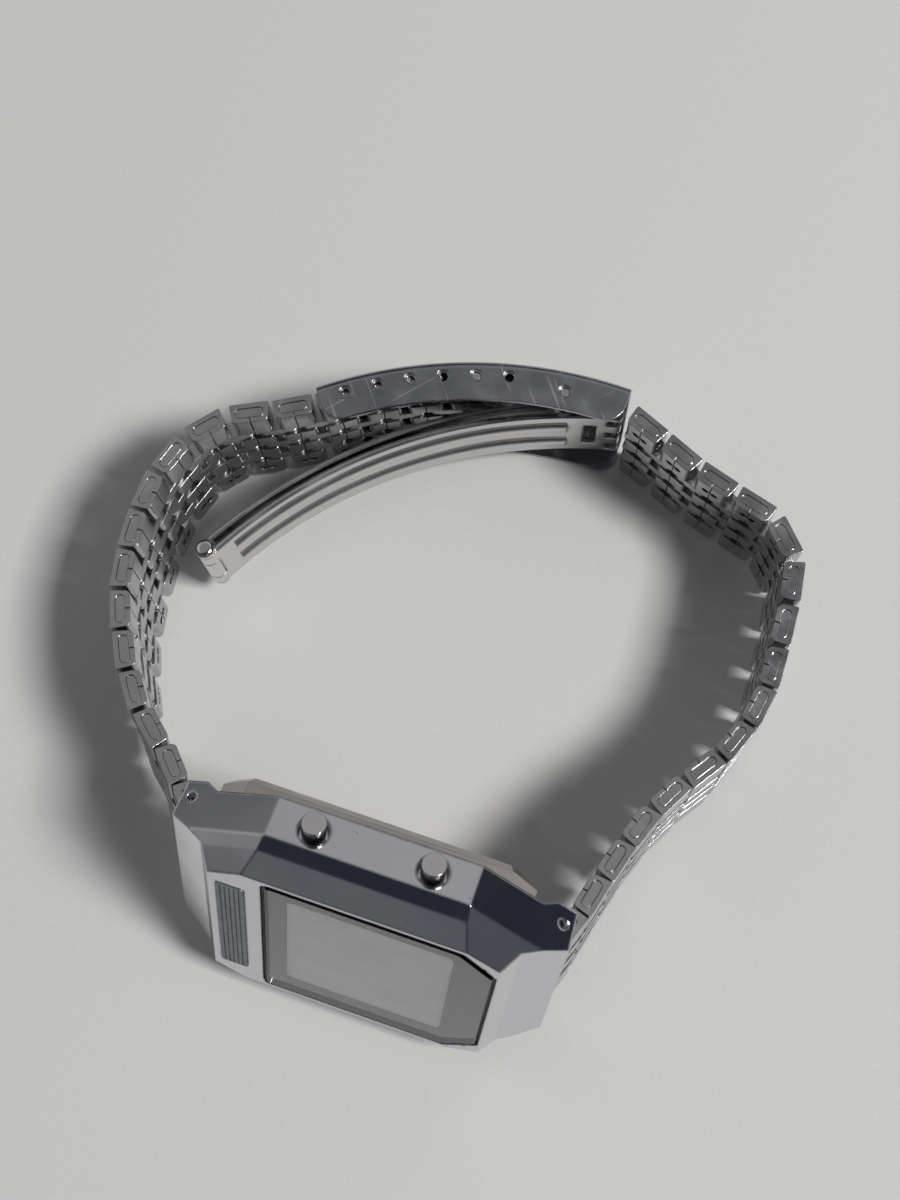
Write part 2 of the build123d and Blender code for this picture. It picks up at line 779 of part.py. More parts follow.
def tie_outline(open_end):
    """One tie from the side: round its own pin, and with room to turn round the next link's pin."""
    with BuildSketch() as outline:
        with Locations((tie_span / 2, 0)):
            RectangleRounded(tie_span + 2 * tie_overhang, tie_height, tie_round)
        Circle(pin_radius + tie_fit, mode=Mode.SUBTRACT)
        if open_end:
            with Locations((tie_span - end_ear_radius - open_pivot_gap + tie_span / 2, 0)):
                Rectangle(tie_span, 2 * tie_height, mode=Mode.SUBTRACT)
        else:
            with Locations((tie_span, 0)):
                Circle(pin_radius + tie_eye_gap, mode=Mode.SUBTRACT)
    return outline.sketch


hinges = []


def build_band(band, hand, title, twist, loose_links, last_point):
    """One node for each link, with its pins and the ties that it carries to the next link."""
    planes = []
    for count, (first, second, heading) in enumerate(band):
        share = min(count, loose_links) / loose_links
        middle = ((first[0] + second[0]) / 2, (first[1] + second[1]) / 2)
        planes.append(band_plane(middle, heading, hand, twist * sin(pi * share)))
    for count, (first, second, heading) in enumerate(band):
        plane = planes[count]
        reach = end_link_reach if count == 0 else pin_span
        own_pin = plane.origin + plane.x_dir * reach / 2
        first_pin = plane.origin - plane.x_dir * reach / 2
        is_last = count == len(band) - 1
        name = f"{title}_end_link" if count == 0 else f"{title}_link_{count:02d}"
        next_pin = last_point
        if not is_last:
            next_pin = planes[count + 1].origin - planes[count + 1].x_dir * pin_span / 2
        with BuildPart(plane) as link:
            if count == 0:
                add(end_link_body.part.moved(Location((-reach / 2, 0, 0))))
                add(end_link_pin.part.moved(Location((-reach / 2, 0, 0))))
            elif next_pin is None:
                add(link_strips.part)
                add(last_pin.part)
            else:
                add(link_strips.part)
                add(link_staple.part)
            if next_pin is not None:
                tie_plane = Plane(own_pin, x_dir=next_pin - own_pin, z_dir=plane.z_dir)
                for row in tie_rows:
                    with BuildSketch(tie_plane.offset(row - tie_width / 2)):
                        add(tie_outline(is_last))
                    extrude(amount=tie_width)
        keep(name, link)
        hinges.append((name, first_pin, plane.z_dir))


clasp_normal = Vector(0, sin(far_lean), cos(far_lean))
clasp_along = Vector(0, cos(far_lean), -sin(far_lean))
clasp_origin = sheet_point(clasp["bar"]) - Vector(clasp["bar"][0], 0, 0) - clasp_along * clasp["bar"][1]
clasp_plane = Plane(clasp_origin, x_dir=(1, 0, 0), z_dir=clasp_normal)
build_band(twelve_band, -1, "twelve_band", band_twist, len(twelve_turns) + 1, None)
end_bar_point = clasp_plane.from_local_coords(Vector(*clasp["end_bar"], 0))
build_band(six_band, 1, "six_band", 0, len(six_turns), end_bar_point)


# The clasp is drawn in its own plane, on the same sheet coordinates
def sector(centre, outer, inner, low_angle, high_angle):
    """Face between two arcs round a centre, from a low angle to a high one, in degrees."""
    with BuildSketch() as face:
        with BuildLine():
            CenterArc(centre, outer, low_angle, high_angle - low_angle)
            CenterArc(centre, inner, low_angle, high_angle - low_angle)
            Line(polar(centre, low_angle, outer), polar(centre, low_angle, inner))
            Line(polar(centre, high_angle, outer), polar(centre, high_angle, inner))
        make_face()
    return face.sketch


def clasp_layers(half_width, thickness):
    """Planes from which a plate of a thickness is drawn at both sides of a width."""
    return [clasp_plane.offset(-half_width), clasp_plane.offset(half_width - thickness)]


cover_start = clasp["cover_start"]
cover_end = cover_start - degrees(cover_length / cover_radius)
flange_inner = cover_radius - cover_flange_height
with BuildPart() as clasp_cover:
    with BuildSketch(clasp_plane.offset(-cover_half_width)):
        add(sector(clasp["centre"], cover_radius, cover_radius - cover_plate, cover_end, cover_start))
    extrude(amount=2 * cover_half_width)
    for layer in clasp_layers(cover_half_width, cover_flange):
        with BuildSketch(layer):
            add(sector(clasp["centre"], cover_radius, flange_inner, cover_end, cover_start))
            fillet(vertices().sort_by_distance(clasp["centre"])[:2], cover_corner_round)
        extrude(amount=cover_flange)
    arcs = clasp_cover.edges().filter_by(GeomType.CIRCLE)
    fillet([edge for edge in arcs if edge.radius > cover_radius - fit_gap], cover_edge_round)
    adjust_points = []
    for count in range(adjust_hole_count):
        place = adjust_hole_start + count * adjust_hole_pitch
        hole_angle = cover_start - degrees(place / cover_radius)
        adjust_points.append(polar(clasp["centre"], hole_angle, pin_ring))
    with BuildSketch(clasp_plane.offset(-cover_half_width - overrun)):
        with Locations(*adjust_points):
            Circle(adjust_bar_radius + adjust_hole_gap)
        with Locations(clasp["hinge"]):
            Circle(hinge_pin_radius + adjust_hole_gap)
    extrude(amount=2 * (cover_half_width + overrun), mode=Mode.SUBTRACT)
    for layer in clasp_layers(cover_half_width + overrun, overrun + hole_rim_depth):
        with BuildSketch(layer):
            with Locations(*adjust_points, clasp["hinge"]):
                Circle(hole_rim_radius)
        extrude(amount=overrun + hole_rim_depth, mode=Mode.SUBTRACT)
keep("clasp_cover", clasp_cover)


def build_bar(point, radius, half_length):
    with BuildPart() as bar:
        with BuildSketch(clasp_plane.offset(-half_length)):
            with Locations(point):
                Circle(radius)
        extrude(amount=2 * half_length)
    return bar


keep("cover_hinge_pin", build_bar(clasp["hinge"], hinge_pin_radius, cover_half_width - cover_pin_recess))
keep("adjusting_bar", build_bar(clasp["bar"], adjust_bar_radius, cover_half_width - cover_pin_recess))
keep("end_bar", build_bar(clasp["end_bar"], end_bar_radius, end_bar_half_length))


def blade_arc(start, end, rise):
    """Centre, radius and the two angles of a blade's arc, which rises to the left of start to end."""
    chord, heading = between(start, end)
    radius = chord * chord / (8 * rise) + rise / 2
    half_angle = degrees(asin(chord / 2 / radius))
    foot = polar(start, heading, chord / 2)
    centre = polar(foot, heading - 90, radius - rise)
    return centre, radius, heading + 90 - half_angle, heading + 90 + half_angle


outer_heading = between(clasp["t_bar"], clasp["hinge"])[1]
outer_start = polar(clasp["t_bar"], outer_heading + 90, t_bar_plate_lift)
outer_end = polar(clasp["hinge"], outer_heading + 90, hinge_eye_lift)
outer_centre, outer_arc, outer_low, outer_high = blade_arc(outer_start, outer_end, outer_rise)
with BuildPart() as outer_blade:
    with BuildSketch(clasp_plane.offset(-blade_half_width)):
        half = outer_thickness / 2
        add(sector(outer_centre, outer_arc + half, outer_arc - half, outer_low, outer_high))
        with Locations(clasp["hinge"]):
            Circle(hinge_eye_radius)
        with Locations(clasp["t_bar"]):
            Circle(t_bar_radius)
    extrude(amount=2 * blade_half_width)
    with BuildSketch(clasp_plane.offset(-hinge_eye_half_length)):
        with Locations(clasp["hinge"]):
            Circle(hinge_eye_radius)
    extrude(amount=2 * hinge_eye_half_length)
    with BuildSketch(clasp_plane.offset(-hinge_eye_half_length - overrun)):
        with Locations(clasp["hinge"]):
            Circle(hinge_pin_radius + running_gap)
        with Locations(clasp["t_bar"]):
            Circle(t_bar_pin_radius + adjust_hole_gap)
    extrude(amount=2 * (hinge_eye_half_length + overrun), mode=Mode.SUBTRACT)
    cut = blade_half_width + overrun - knuckle_half_width
    for layer in clasp_layers(blade_half_width + overrun, cut):
        with BuildSketch(layer):
            with Locations(clasp["t_bar"]):
                Circle(t_bar_radius + knuckle_gap)
        extrude(amount=cut, mode=Mode.SUBTRACT)
keep("outer_blade", outer_blade)

inner_heading = between(clasp["t_bar"], clasp["end_bar"])[1]
inner_start = polar(clasp["t_bar"], inner_heading - 90, t_bar_plate_lift)
inner_end = polar(clasp["end_bar"], inner_heading - 90, end_ear_radius - inner_thickness / 2)
inner_centre, inner_arc, inner_low, inner_high = blade_arc(inner_start, inner_end, inner_rise)
with BuildPart() as inner_blade:
    with BuildSketch(clasp_plane.offset(-blade_half_width)):
        half = inner_thickness / 2
        add(sector(inner_centre, inner_arc + half, inner_arc - half, inner_low, inner_high))
        with Locations(clasp["end_bar"]):
            Circle(end_ear_radius)
        with Locations(clasp["t_bar"]):
            Circle(t_bar_radius)
    extrude(amount=2 * blade_half_width)
    margin = degrees(rib_end_margin / inner_arc)
    rib_arc = inner_arc - half - rib_height
    for place in (-rib_place, rib_place):
        with BuildSketch(clasp_plane.offset(place - rib_width / 2)):
            rib_low = inner_low + margin + degrees(slot_place / inner_arc)
            add(sector(inner_centre, inner_arc, rib_arc, rib_low, inner_high - margin))
        extrude(amount=rib_width)
    arcs = inner_blade.edges().filter_by(GeomType.CIRCLE)
    fillet([edge for edge in arcs if abs(edge.radius - rib_arc) < fit_gap], rib_round)
    with BuildSketch(clasp_plane.offset(-blade_half_width - overrun)):
        with Locations(clasp["end_bar"]):
            Circle(end_bar_radius + adjust_hole_gap)
        with Locations(clasp["t_bar"]):
            Circle(t_bar_pin_radius + running_gap)
    extrude(amount=2 * (blade_half_width + overrun), mode=Mode.SUBTRACT)
    with BuildSketch(clasp_plane.offset(-knuckle_half_width - knuckle_gap)):
        with Locations(clasp["t_bar"]):
            Circle(t_bar_radius + knuckle_gap)
    extrude(amount=2 * (knuckle_half_width + knuckle_gap), mode=Mode.SUBTRACT)
    with BuildSketch(clasp_plane.offset(-slot_half_width)):
        slot_low = inner_low + degrees(slot_place / inner_arc)
        slot_high = slot_low + degrees(slot_length / inner_arc)
        slot_arcs = (inner_arc + inner_thickness, inner_arc - inner_thickness)
        add(sector(inner_centre, *slot_arcs, slot_low, slot_high))
    extrude(amount=2 * slot_half_width, mode=Mode.SUBTRACT)
    for row in tie_rows:
        with BuildSketch(clasp_plane.offset(row - tie_row / 2)):
            with Locations(clasp["end_bar"]):
                Circle(tie_height / 2 + tie_side_gap)
        extrude(amount=tie_row, mode=Mode.SUBTRACT)
keep("inner_blade", inner_blade)

with BuildPart() as t_bar:
    with BuildSketch(clasp_plane.offset(-t_bar_half_length)):
        with Locations(clasp["t_bar"]):
            Circle(t_bar_radius)
    extrude(amount=2 * t_bar_half_length)
    fillet(t_bar.edges().filter_by(GeomType.CIRCLE), t_bar_end_round)
    with BuildSketch(clasp_plane.offset(-blade_half_width - fit_gap)):
        with Locations(clasp["t_bar"]):
            Circle(t_bar_radius + overrun)
            Circle(t_bar_pin_radius, mode=Mode.SUBTRACT)
    extrude(amount=2 * (blade_half_width + fit_gap), mode=Mode.SUBTRACT)
keep("t_bar", t_bar)

# The origin is set under the middle of the whole watch, on the floor
boxes = [piece.bounding_box() for piece in nodes.values()]
low = [min(tuple(box.min)[axis] for box in boxes) for axis in range(3)]
high = [max(tuple(box.max)[axis] for box in boxes) for axis in range(3)]
origin = Vector((low[0] + high[0]) / 2, (low[1] + high[1]) / 2, low[2])
print("overall size", [round(h - l, 2) for l, h in zip(low, high)])
print("origin shift", [round(value, 4) for value in origin])
os.makedirs("parts", exist_ok=True)
for name, piece in nodes.items():
    export_step(piece.moved(Location(-origin)), f"parts/{name}.step")

# Where each joint turns, in the exported model
hinges.append(("cover_hinge", clasp_plane.from_local_coords(Vector(*clasp["hinge"], 0)), clasp_normal))
hinges.append(("t_bar_hinge", clasp_plane.from_local_coords(Vector(*clasp["t_bar"], 0)), clasp_normal))
for name, point, axis in hinges:
    print("hinge", name, [round(value, 4) for value in point - origin], [round(value, 6) for value in axis])
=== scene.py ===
# %% [markdown]
# # A steel digital watch on its side
# The watch stands on the nine o'clock side of its case, with its bracelet closed in a loop behind it.
# The CAD model already has every piece in its place, so this lesson is about surfaces: chrome plate,
# brushed steel, glass and a grey display, and the soft daylight that makes them readable.
# We load the frame first and note its box, because nothing that is added may grow out of it.

# %% Load the frame
import math

import bpy
from mathutils import Matrix, Vector


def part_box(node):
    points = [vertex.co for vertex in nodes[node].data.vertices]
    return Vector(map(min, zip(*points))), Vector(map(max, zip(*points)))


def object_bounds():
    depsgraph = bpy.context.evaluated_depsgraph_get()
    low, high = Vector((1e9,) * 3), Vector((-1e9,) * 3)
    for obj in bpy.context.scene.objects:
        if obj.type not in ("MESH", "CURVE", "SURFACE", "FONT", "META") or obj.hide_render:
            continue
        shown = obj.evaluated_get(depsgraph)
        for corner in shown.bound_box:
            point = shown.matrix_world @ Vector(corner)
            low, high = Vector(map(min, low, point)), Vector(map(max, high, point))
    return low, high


MM = 0.001

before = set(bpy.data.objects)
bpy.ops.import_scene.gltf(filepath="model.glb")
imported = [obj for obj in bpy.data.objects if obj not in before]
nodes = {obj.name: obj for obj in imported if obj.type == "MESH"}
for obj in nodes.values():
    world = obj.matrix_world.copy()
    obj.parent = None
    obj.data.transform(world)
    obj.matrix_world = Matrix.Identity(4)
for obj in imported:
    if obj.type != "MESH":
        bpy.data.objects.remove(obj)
cad_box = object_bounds()
print("pieces in the frame:", len(nodes), "box:", [round(c, 4) for corner in cad_box for c in corner])

# %% [markdown]
# ## The camera
# A camera can be placed by eye, or worked out from points whose real place is known. The second way was
# used here: the watch is seen from almost straight above, and the picture is turned by some 18 degrees.
# A camera's matrix has its right, up and backward directions as columns, so we build these directly.

# %% Place the camera above the loop
EYE = Vector((17.913, -22.113, 198.215)) * MM
LOOK_ACROSS, LOOK_ALONG = -0.09639561, 0.16082821
PICTURE_TURN = 0.32088417
LENS_MM = 57
SENSOR_MM = 36
NEAREST_MM = 5

look = Vector((LOOK_ACROSS, LOOK_ALONG, -math.sqrt(1 - LOOK_ACROSS**2 - LOOK_ALONG**2)))
right = Vector((math.cos(PICTURE_TURN), math.sin(PICTURE_TURN), 0))
right = (right - look * right.dot(look)).normalized()
up = right.cross(look)

camera_data = bpy.data.cameras.new("camera")
camera_data.lens = LENS_MM
camera_data.sensor_fit = "AUTO"
camera_data.sensor_width = SENSOR_MM
camera_data.clip_start = NEAREST_MM * MM
camera = bpy.data.objects.new("camera", camera_data)
camera.matrix_world = Matrix.Translation(EYE) @ Matrix((right, up, -look)).transposed().to_4x4()
bpy.context.scene.collection.objects.link(camera)
bpy.context.scene.camera = camera
print("camera height above the floor:", round(EYE.z, 3), "m")

# %% [markdown]
# ## Building a finish
# Every finish here is a Principled shader with a few helpers round it. A number that is the same all over
# the surface goes on the shader's own socket. What changes over the surface, such as grain, smudges and
# scratches, comes from noise in the piece's own coordinates, so it stays on the piece when it moves.


# %% Helpers for finishes
def new_finish(name, colour, roughness, metallic=0.0):
    finish = bpy.data.materials.new(name)
    finish.use_nodes = True
    shader = finish.node_tree.nodes["Principled BSDF"]
    shader.inputs["Base Color"].default_value = (*colour, 1)
    shader.inputs["Roughness"].default_value = roughness
    shader.inputs["Metallic"].default_value = metallic
    return finish, finish.node_tree.nodes, finish.node_tree.links, shader


def piece_place(tree_nodes, links, turn=(0, 0, 0), stretch=(1, 1, 1)):
    """The piece's own coordinates in millimetres, turned and stretched."""
    coordinates = tree_nodes.new("ShaderNodeTexCoord")
    turned = tree_nodes.new("ShaderNodeMapping")
    turned.inputs["Rotation"].default_value = turn
    stretched = tree_nodes.new("ShaderNodeMapping")
    stretched.inputs["Scale"].default_value = [share / MM for share in stretch]
    links.new(coordinates.outputs["Object"], turned.inputs["Vector"])
    links.new(turned.outputs["Vector"], stretched.inputs["Vector"])
    return stretched.outputs["Vector"]


def noise(tree_nodes, links, place, per_mm, detail=3.0, roughness=0.55):
    texture = tree_nodes.new("ShaderNodeTexNoise")
    texture.inputs["Scale"].default_value = per_mm
    texture.inputs["Detail"].default_value = detail
    texture.inputs["Roughness"].default_value = roughness
    links.new(place, texture.inputs["Vector"])
    return texture.outputs["Fac"]


def spread(tree_nodes, links, value, low, high, to_low, to_high):
    """Maps the value from low..high to to_low..to_high and holds it there."""
    mapped = tree_nodes.new("ShaderNodeMapRange")
    mapped.inputs["From Min"].default_value = low
    mapped.inputs["From Max"].default_value = high
    mapped.inputs["To Min"].default_value = to_low
    mapped.inputs["To Max"].default_value = to_high
    links.new(value, mapped.inputs["Value"])
    return mapped.outputs["Result"]


def join(tree_nodes, links, kind, first, second):
    """Add, multiply or compare two values; the second may be a plain number."""
    joined = tree_nodes.new("ShaderNodeMath")
    joined.operation = kind
    links.new(first, joined.inputs[0])
    if isinstance(second, (int, float)):
        joined.inputs[1].default_value = second
    else:
        links.new(second, joined.inputs[1])
    return joined.outputs["Value"]


def blend_colours(tree_nodes, links, share, first, second):
    """Goes from the first colour to the second as share goes from 0 to 1."""
    mixed = tree_nodes.new("ShaderNodeMix")
    mixed.data_type = "RGBA"
    links.new(share, mixed.inputs["Factor"])
    for socket, colour in (("A", first), ("B", second)):
        target = next(i for i in mixed.inputs if i.name == socket and i.type == "RGBA")
        if isinstance(colour, tuple):
            target.default_value = (*colour, 1)
        else:
            links.new(colour, target)
    return next(o for o in mixed.outputs if o.type == "RGBA")


def raise_surface(tree_nodes, links, shader, height, depth_mm, edge_mm=0.0):
    """Presses a height pattern into the surface, and rounds its edges in the shading."""
    bump = tree_nodes.new("ShaderNodeBump")
    bump.inputs["Distance"].default_value = depth_mm * MM
    links.new(height, bump.inputs["Height"])
    if edge_mm:
        rounding = tree_nodes.new("ShaderNodeBevel")
        rounding.samples = 6
        rounding.inputs["Radius"].default_value = edge_mm * MM
        links.new(rounding.outputs["Normal"], bump.inputs["Normal"])
    links.new(bump.outputs["Normal"], shader.inputs["Normal"])


def edge_share(tree_nodes, links, reach_mm):
    """Rises from 0 on a face to about 1 at its edges."""
    rounding = tree_nodes.new("ShaderNodeBevel")
    rounding.samples = 4
    rounding.inputs["Radius"].default_value = reach_mm * MM
    geometry = tree_nodes.new("ShaderNodeNewGeometry")
    compared = tree_nodes.new("ShaderNodeVectorMath")
    compared.operation = "DOT_PRODUCT"
    links.new(rounding.outputs["Normal"], compared.inputs[0])
    links.new(geometry.outputs["Normal"], compared.inputs[1])
    return spread(tree_nodes, links, compared.outputs["Value"], 0.90, 0.995, 1, 0)


def dress(finish, *names):
    """Puts a finish on CAD pieces."""
    for name in names:
        for place in nodes[name].material_slots:
            place.material = finish


print("finish helpers ready")

# %% [markdown]
# ## Chrome plate
# The case is plated and polished, so it shows its surroundings almost like a mirror. A perfect mirror
# looks false: years of wear leave fine scratches, finger marks that dull the gloss in soft patches, and
# dark pits where the plate has worn through along the ridges. Each of these is one noise pattern.


# %% Polished chrome for the case
PIT_START, PIT_FULL = 0.735, 0.76
FLECK_START, FLECK_FULL = 0.60, 0.66
FLECK_REACH_MM = 0.5
RIPPLE_HEIGHT, HAIRLINE_HEIGHT = 2.0, 0.03
CHROME_DEPTH_MM = 0.02
BARE_METAL = (0.02, 0.02, 0.022)


def worn_chrome(name, colour, roughness, smudge, edge_mm, waves=1.0, flecks=0.0):
    finish, made, links, shader = new_finish(name, colour, roughness, 1.0)
    place = piece_place(made, links)
    marks = noise(made, links, place, 0.22, 4.0)
    slanted = piece_place(made, links, (0.3, 0.5, 0.9), (0.25, 9, 9))
    hairlines = noise(made, links, slanted, 1.3, 2.0)
    dull = spread(made, links, marks, 0.35, 0.75, roughness, roughness + smudge)
    links.new(dull, shader.inputs["Roughness"])
    pits = spread(made, links, noise(made, links, place, 3.2, 2.0), PIT_START, PIT_FULL, 0, 1)
    if flecks:
        edges = edge_share(made, links, FLECK_REACH_MM)
        worn = join(made, links, "MULTIPLY", edges, noise(made, links, place, 1.6, 5.0, 0.75))
        flecked = spread(made, links, worn, FLECK_START - flecks, FLECK_FULL - flecks, 0, 1)
        pits = join(made, links, "MAXIMUM", pits, flecked)
    links.new(blend_colours(made, links, pits, colour, BARE_METAL), shader.inputs["Base Color"])
    ripple = join(made, links, "MULTIPLY", noise(made, links, place, 0.12, 1.0), RIPPLE_HEIGHT * waves)
    scratched = join(made, links, "MULTIPLY", hairlines, HAIRLINE_HEIGHT)
    height = join(made, links, "ADD", ripple, scratched)
    raise_surface(made, links, shader, height, CHROME_DEPTH_MM, edge_mm)
    return finish


polished_case = worn_chrome("polished_case", (0.64, 0.65, 0.68), 0.06, 0.10, 0.40, 1.5, 0.03)
button_chrome = worn_chrome("button_chrome", (0.62, 0.60, 0.61), 0.12, 0.10, 0.1)
dress(polished_case, "case_middle")
dress(button_chrome, "button_twelve_side", "button_six_side")
print("chrome finishes:", polished_case.name, button_chrome.name)

# %% [markdown]
# ## Brushed steel
# The case back, the clasp cover and the cut ends of the links are brushed: an abrasive belt has drawn
# thousands of parallel lines over them. Anisotropic gloss alone looks too clean on such small pieces, so
# a noise that is stretched along the brushing draws the lines as bump and as uneven gloss.


# %% Brushed steel along a chosen direction
DARK_LINE_SHARE = 0.8
SCRATCH_START, SCRATCH_FULL = 0.685, 0.70
SCRATCH_TURNS = (0.9, 2.3)
SCRATCH_BRIGHTNESS = 1.5
SCRATCH_DULLNESS = 0.25


def brushed_steel(name, colour, roughness, along, line_mm, depth_mm=0.003, scratches=0.0, edge_mm=0.1):
    finish, made, links, shader = new_finish(name, colour, roughness, 1.0)
    flat = piece_place(made, links, (0, 0, -math.atan2(along[1], along[0])), (0.03, 1, 1))
    lines = noise(made, links, flat, 1 / line_mm, 2.0, 0.6)
    cloud = noise(made, links, piece_place(made, links), 0.35, 4.0)
    tone = join(made, links, "ADD", join(made, links, "MULTIPLY", lines, 0.6),
                join(made, links, "MULTIPLY", cloud, 0.4))
    shade = spread(made, links, tone, 0.35, 0.65, 0, 1)
    dark = tuple(c * DARK_LINE_SHARE for c in colour)
    tint = blend_colours(made, links, shade, dark, colour)
    gloss = spread(made, links, cloud, 0.3, 0.7, roughness - 0.05, roughness + 0.08)
    if scratches:
        bright = tuple(min(1, c * SCRATCH_BRIGHTNESS) for c in colour)
        for turn in SCRATCH_TURNS:
            slanted = piece_place(made, links, (0, 0, turn), (0.08, 2.2, 2.2))
            streaks = noise(made, links, slanted, 0.9, 1.0)
            marks = spread(made, links, streaks, SCRATCH_START, SCRATCH_FULL, 0, scratches)
            tint = blend_colours(made, links, marks, tint, bright)
            dulled = join(made, links, "MULTIPLY", marks, SCRATCH_DULLNESS)
            gloss = join(made, links, "ADD", gloss, dulled)
    links.new(tint, shader.inputs["Base Color"])
    links.new(gloss, shader.inputs["Roughness"])
    raise_surface(made, links, shader, lines, depth_mm, edge_mm)
    return finish


print("brushed steel ready, with", len(SCRATCH_TURNS), "directions of scratches")

# %% [markdown]
# ## The floor
# The watch stands on plain pale card. A flat square is enough for it, wide enough to fill the picture,
# and a fine noise keeps its colour from looking painted on.

# %% The floor
FLOOR_COLOUR = (0.605, 0.60, 0.588)
FLOOR_HALF = 1.2
SPECK_SHARE = 0.965

floor_mesh = bpy.data.meshes.new("floor")
corners = [(x * FLOOR_HALF, y * FLOOR_HALF, 0) for x, y in ((-1, -1), (1, -1), (1, 1), (-1, 1))]
floor_mesh.from_pydata(corners, [], [(0, 1, 2, 3)])
floor = bpy.data.objects.new("floor", floor_mesh)
bpy.context.scene.collection.objects.link(floor)
card, made, links, shader = new_finish("pale_card", FLOOR_COLOUR, 0.85)
speck = noise(made, links, piece_place(made, links), 2.6, 3.0)
links.new(blend_colours(made, links, spread(made, links, speck, 0.35, 0.65, 0, 1),
                        tuple(c * SPECK_SHARE for c in FLOOR_COLOUR), FLOOR_COLOUR),
          shader.inputs["Base Color"])
floor_mesh.materials.append(card)
print("floor:", round(2 * FLOOR_HALF, 2), "m wide")

# %% [markdown]
# ## The window
# One square soft lamp, high on the right, stands for a window and throws the soft shadow to the left. Its
# size sets how soft the shadow's edge is, and its distance and power set how bright the floor is.


# %% The window lamp
WINDOW_AZIMUTH, WINDOW_ELEVATION = 5, 57
WINDOW_DISTANCE = 1.2
WINDOW_SIZE = 0.25
WINDOW_POWER = 13.2


def aim_lamp(name, place, aim, power, width, height):
    lamp_data = bpy.data.lights.new(name, "AREA")
    lamp_data.shape = "RECTANGLE"
    lamp_data.size, lamp_data.size_y = width, height
    lamp_data.energy = power
    lamp = bpy.data.objects.new(name, lamp_data)
    lamp.location = place
    lamp.rotation_euler = (Vector(aim) - Vector(place)).to_track_quat("-Z", "Y").to_euler()
    bpy.context.scene.collection.objects.link(lamp)
    return lamp


def towards(azimuth, elevation):
    """The direction of a place in the room, in degrees round from +X and up from the floor."""
    turn, rise = math.radians(azimuth), math.radians(elevation)
    return Vector((math.cos(turn) * math.cos(rise), math.sin(turn) * math.cos(rise), math.sin(rise)))


MIDDLE = (cad_box[0] + cad_box[1]) / 2
window_place = MIDDLE + towards(WINDOW_AZIMUTH, WINDOW_ELEVATION) * WINDOW_DISTANCE
aim_lamp("window", window_place, MIDDLE, WINDOW_POWER, WINDOW_SIZE, WINDOW_SIZE)
print("window lamp at", [round(c, 3) for c in window_place])

# %% [markdown]
# ## The room
# Chrome shows its surroundings, so a plain grey world would leave it flat. The room here is dark with six
# soft round patches of light. The case's facets mirror the patches or the dark between them, which gives
# the chrome its bright and dark bands.

# %% The room
# Each patch: degrees round from +X, degrees up, its inner and outer angles, and its strength
PATCHES = (
    (86, 46, 8, 33, 0.42),
    (134, 62, 3, 22, 0.07),
    (178, 42, 10, 42, 0.54),
    (-34, 29, 4, 26, 0.08),
    (-97, 29, 8, 16, 0.13),
    (155, 6, 6, 18, 0.10),
)
ROOM_DARK = (0.026, 0.030, 0.042)
ROOM_BRIGHT = (1.0, 0.98, 0.97)

world = bpy.data.worlds.new("room")
bpy.context.scene.world = world
world.use_nodes = True
room = world.node_tree.nodes
room_links = world.node_tree.links
room_light = room["Background"]
direction = room.new("ShaderNodeTexCoord")


def patch(azimuth, elevation, inner, outer, strength):
    """A soft round patch of light in the room, bright within the inner angle and gone at the outer."""
    aimed = room.new("ShaderNodeVectorMath")
    aimed.operation = "DOT_PRODUCT"
    aimed.inputs[1].default_value = towards(azimuth, elevation)
    room_links.new(direction.outputs["Generated"], aimed.inputs[0])
    low, high = math.cos(math.radians(outer)), math.cos(math.radians(inner))
    return spread(room, room_links, aimed.outputs["Value"], low, high, 0, strength)


glow = patch(*PATCHES[0])
for place in PATCHES[1:]:
    glow = join(room, room_links, "ADD", glow, patch(*place))
dim = room.new("ShaderNodeMixRGB")
room_links.new(glow, dim.inputs["Fac"])
dim.inputs["Color1"].default_value = (*ROOM_DARK, 1)
dim.inputs["Color2"].default_value = (*ROOM_BRIGHT, 1)
room_links.new(dim.outputs["Color"], room_light.inputs["Color"])
room_light.inputs["Strength"].default_value = 1.0
bpy.context.scene.view_settings.view_transform = "Standard"
print("patches of light in the room:", len(PATCHES))

# %% [markdown]
# ## The dial side
# Behind the glass are a dark printed border and the grey display. The glass is real glass here, so the
# border shows through it with the same soft reflections as on the real watch.

# %% Glass, border, display and name plate
GLASS_BEND = 1.38

glass, made, links, shader = new_finish("crystal", (1, 1, 1), 0.02)
shader.inputs["Transmission Weight"].default_value = 1.0
shader.inputs["IOR"].default_value = GLASS_BEND
haze = noise(made, links, piece_place(made, links), 0.5, 5.0)
links.new(spread(made, links, haze, 0.45, 0.8, 0.01, 0.06), shader.inputs["Roughness"])
dress(glass, "crystal")

border, made, links, shader = new_finish("display_border", (0.06, 0.07, 0.09), 0.5)
shader.inputs["Specular IOR Level"].default_value = 0.0
tint = noise(made, links, piece_place(made, links), 0.3, 3.0)
links.new(blend_colours(made, links, spread(made, links, tint, 0.3, 0.7, 0, 1),
                        (0.012, 0.018, 0.045), (0.025, 0.032, 0.065)), shader.inputs["Base Color"])
dress(border, "display_mask")

liquid, made, links, shader = new_finish("display_grey", (0.42, 0.43, 0.43), 0.5)
shader.inputs["Specular IOR Level"].default_value = 0.0
cloud = noise(made, links, piece_place(made, links), 0.25, 3.0)
links.new(blend_colours(made, links, spread(made, links, cloud, 0.3, 0.7, 0, 1),
                        (0.64, 0.65, 0.66), (0.72, 0.73, 0.74)), shader.inputs["Base Color"])
dress(liquid, "display_panel")

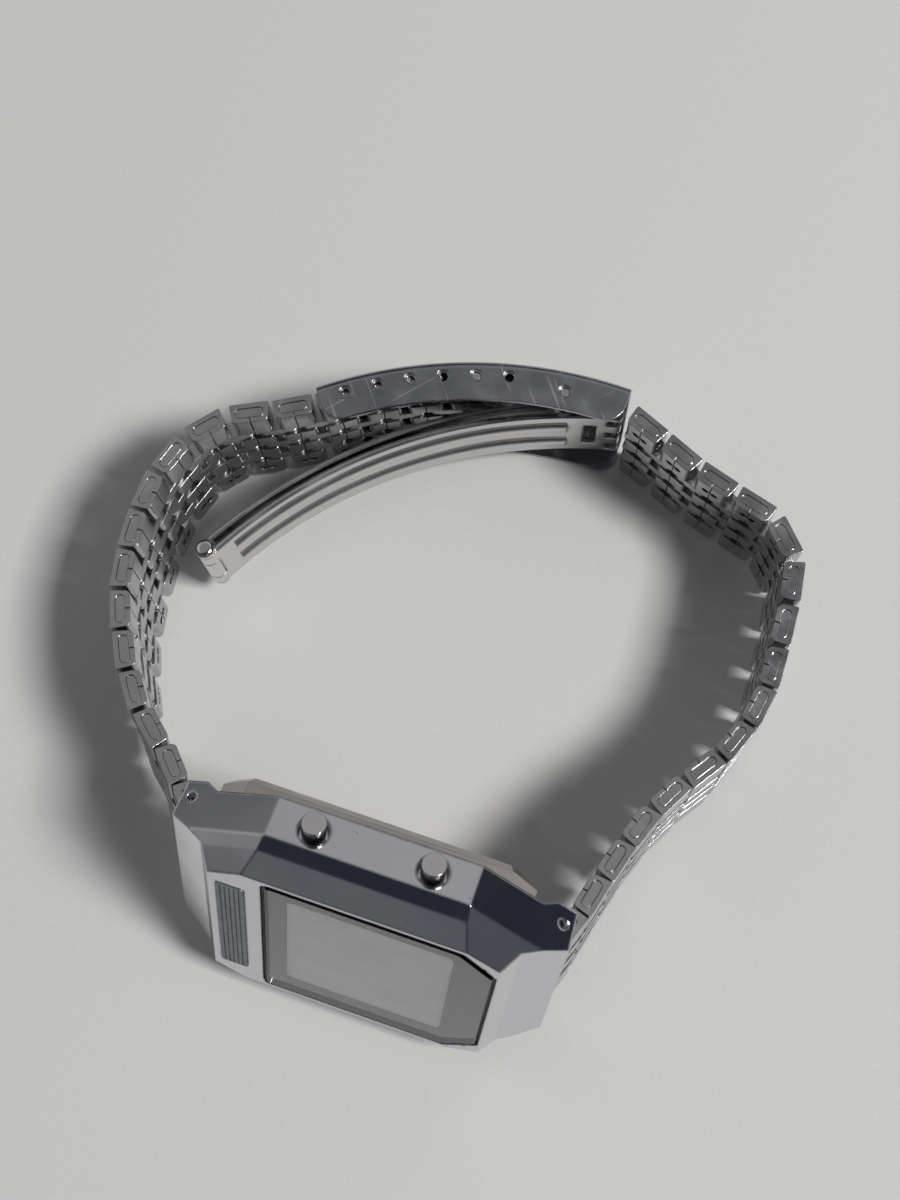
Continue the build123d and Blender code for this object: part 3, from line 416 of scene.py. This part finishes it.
plate, made, links, shader = new_finish("grooved_plate", (0.16, 0.17, 0.19), 0.35, 0.6)
streak = noise(made, links, piece_place(made, links), 1.2, 3.0)
links.new(spread(made, links, streak, 0.3, 0.7, 0.28, 0.5), shader.inputs["Roughness"])
dress(plate, "name_plate")
print("dial side dressed")

# %% [markdown]
# ## Inside the case
# The movement is hidden, but a stranger may open the case, so the board, the cell and the plastic frame
# get their own finishes too.


# %% Finishes of the hidden pieces
def plain_finish(name, colour, roughness, metallic=0.0, per_mm=1.5, grain=0.01, contrast=0.8):
    finish, made, links, shader = new_finish(name, colour, roughness, metallic)
    pattern = noise(made, links, piece_place(made, links), per_mm, 3.0)
    links.new(blend_colours(made, links, spread(made, links, pattern, 0.3, 0.7, 0, 1),
                            tuple(c * contrast for c in colour), colour), shader.inputs["Base Color"])
    raise_surface(made, links, shader, pattern, grain)
    return finish


dress(plain_finish("seal_rubber", (0.06, 0.06, 0.065), 0.6),
      "back_gasket", "crystal_gasket", "stem_seals")
dress(plain_finish("contact_rubber", (0.75, 0.74, 0.70), 0.55), "contact_strips")
dress(plain_finish("green_board", (0.03, 0.17, 0.07), 0.45), "circuit_board")
dress(plain_finish("white_plastic", (0.70, 0.69, 0.66), 0.5), "module_frame")
dress(plain_finish("cell_steel", (0.66, 0.66, 0.66), 0.25, 1.0), "button_cell", "quartz_can")
dress(plain_finish("spring_steel", (0.55, 0.54, 0.52), 0.22, 1.0), "cell_strap", "return_spring_twelve_side",
      "return_spring_six_side", "lug_spring_bars")
print("hidden pieces dressed")

# %% [markdown]
# ## Back and bracelet
# Each link's cut ends are brushed along the bracelet, so each link needs its own direction. The diagonal
# of the link's box gives it closely enough, and it slopes the other way on the six o'clock side.

# %% Case back and bracelet finishes
BAND_COLOUR = (0.48, 0.48, 0.485)
CASE_LENGTH = (1, 0, 0)

dress(brushed_steel("back_steel", (0.56, 0.52, 0.49), 0.30, CASE_LENGTH, 0.12, 0.006), "case_back")
for band in ("twelve", "six"):
    links_here = sorted(name for name in nodes if name.startswith(f"{band}_band_"))
    for name in links_here:
        low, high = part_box(name)
        along = (high.x - low.x, high.y - low.y)
        if band == "six":
            along = (along[0], -along[1])
        dress(brushed_steel(f"steel_of_{name}", BAND_COLOUR, 0.20, along, 0.10, 0.002), name)
    print(band, "band dressed:", len(links_here))

cover_steel = brushed_steel("cover_steel", (0.38, 0.39, 0.42), 0.22, CASE_LENGTH, 0.09, 0.002, 0.4, 0.12)
dress(cover_steel, "clasp_cover")
dress(worn_chrome("blade_steel", (0.66, 0.65, 0.64), 0.10, 0.12, 0.50, 8.0), "outer_blade", "inner_blade")
dress(worn_chrome("pin_steel", (0.70, 0.69, 0.68), 0.10, 0.10, 0.12, 1.0),
      "t_bar", "end_bar", "adjusting_bar", "cover_hinge_pin")
print("clasp dressed")
